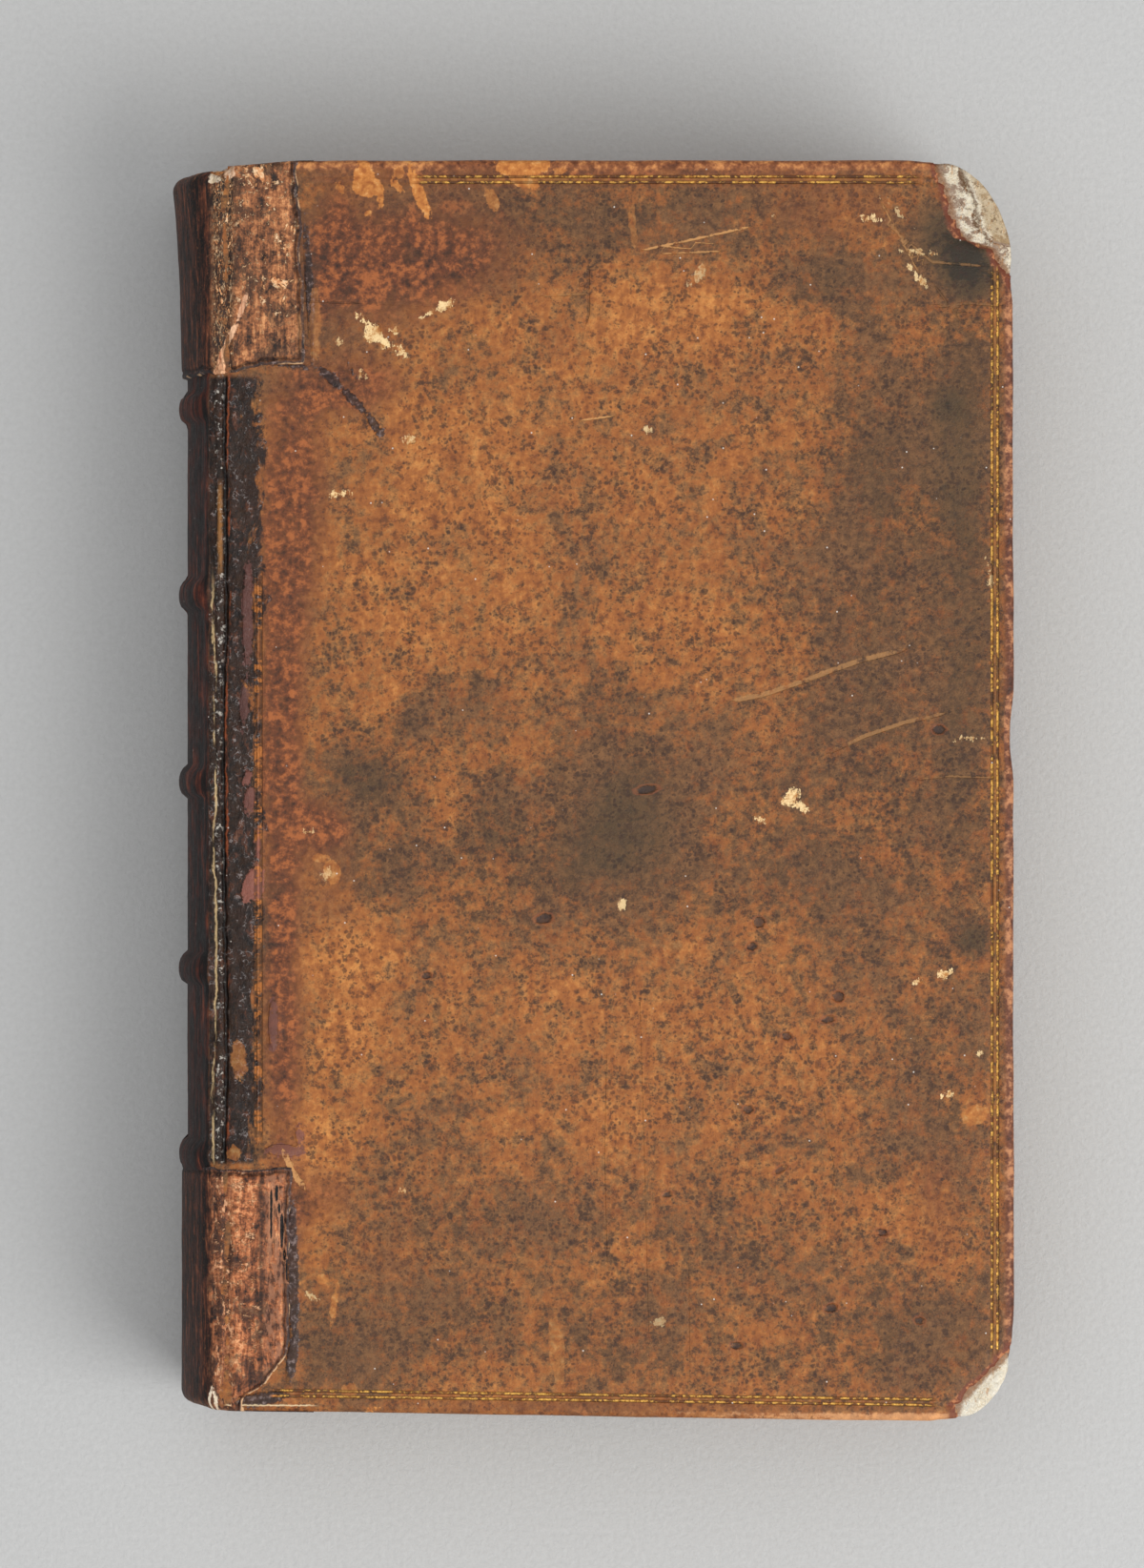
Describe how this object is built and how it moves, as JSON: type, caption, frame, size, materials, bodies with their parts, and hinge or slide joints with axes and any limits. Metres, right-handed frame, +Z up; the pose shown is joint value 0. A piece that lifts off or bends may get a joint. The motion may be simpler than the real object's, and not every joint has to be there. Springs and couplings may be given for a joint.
{
  "type": "antique leather book",
  "caption": "Closed antique octavo book in worn full calf with raised bands, repaired spine ends and two covers that open.",
  "frame": {"origin": "under the middle of the closed book, on the surface it lies on", "axes": "+X from the spine towards the fore edge, +Y towards the head, +Z up through the front cover"},
  "size_m": [0.1344, 0.2002, 0.034],
  "materials": {
    "calf": "worn, polished old calf",
    "spine_calf": "darkened, cracked and glossy",
    "repair_leather": "crackled and flaking",
    "gilt": "rubbed gold leaf",
    "pasteboard": "rough and fibrous",
    "pages": "aged laid paper, cut edges",
    "endpaper": "aged, foxed paper",
    "hemp": "twisted hemp cord",
    "endband_thread": "two colours of worn thread"
  },
  "bodies": {
    "book_block": {"text_block": "pages", "spine_leather": "spine_calf", "head_patch_spine": "repair_leather", "tail_patch_spine": "repair_leather", "headband": "endband_thread", "tailband": "endband_thread", "sewing_cord_1": "hemp", "sewing_cord_2": "hemp", "sewing_cord_3": "hemp", "sewing_cord_4": "hemp", "sewing_cord_5": "hemp"},
    "front_cover": {"front_board": "pasteboard", "front_leather": "calf", "front_pastedown": "endpaper", "front_gilt_fillet": "gilt", "head_patch_front": "repair_leather", "tail_patch_front": "repair_leather", "front_slip_1": "hemp", "front_slip_2": "hemp", "front_slip_3": "hemp", "front_slip_4": "hemp", "front_slip_5": "hemp"},
    "rear_cover": {"rear_board": "pasteboard", "rear_leather": "calf", "rear_pastedown": "endpaper", "rear_gilt_fillet": "gilt", "head_patch_rear": "repair_leather", "tail_patch_rear": "repair_leather", "rear_slip_1": "hemp", "rear_slip_2": "hemp", "rear_slip_3": "hemp", "rear_slip_4": "hemp", "rear_slip_5": "hemp"}
  },
  "joints": [
    {"name": "front_joint", "type": "hinge", "parent": "book_block", "child": "front_cover", "pos_m": [-0.05785, 0, 0.0343], "axis": [0, -1, 0], "range_deg": [0, 180]},
    {"name": "rear_joint", "type": "hinge", "parent": "book_block", "child": "rear_cover", "pos_m": [-0.05785, 0, -0.0003], "axis": [0, 1, 0], "range_deg": [0, 180]}
  ]
}
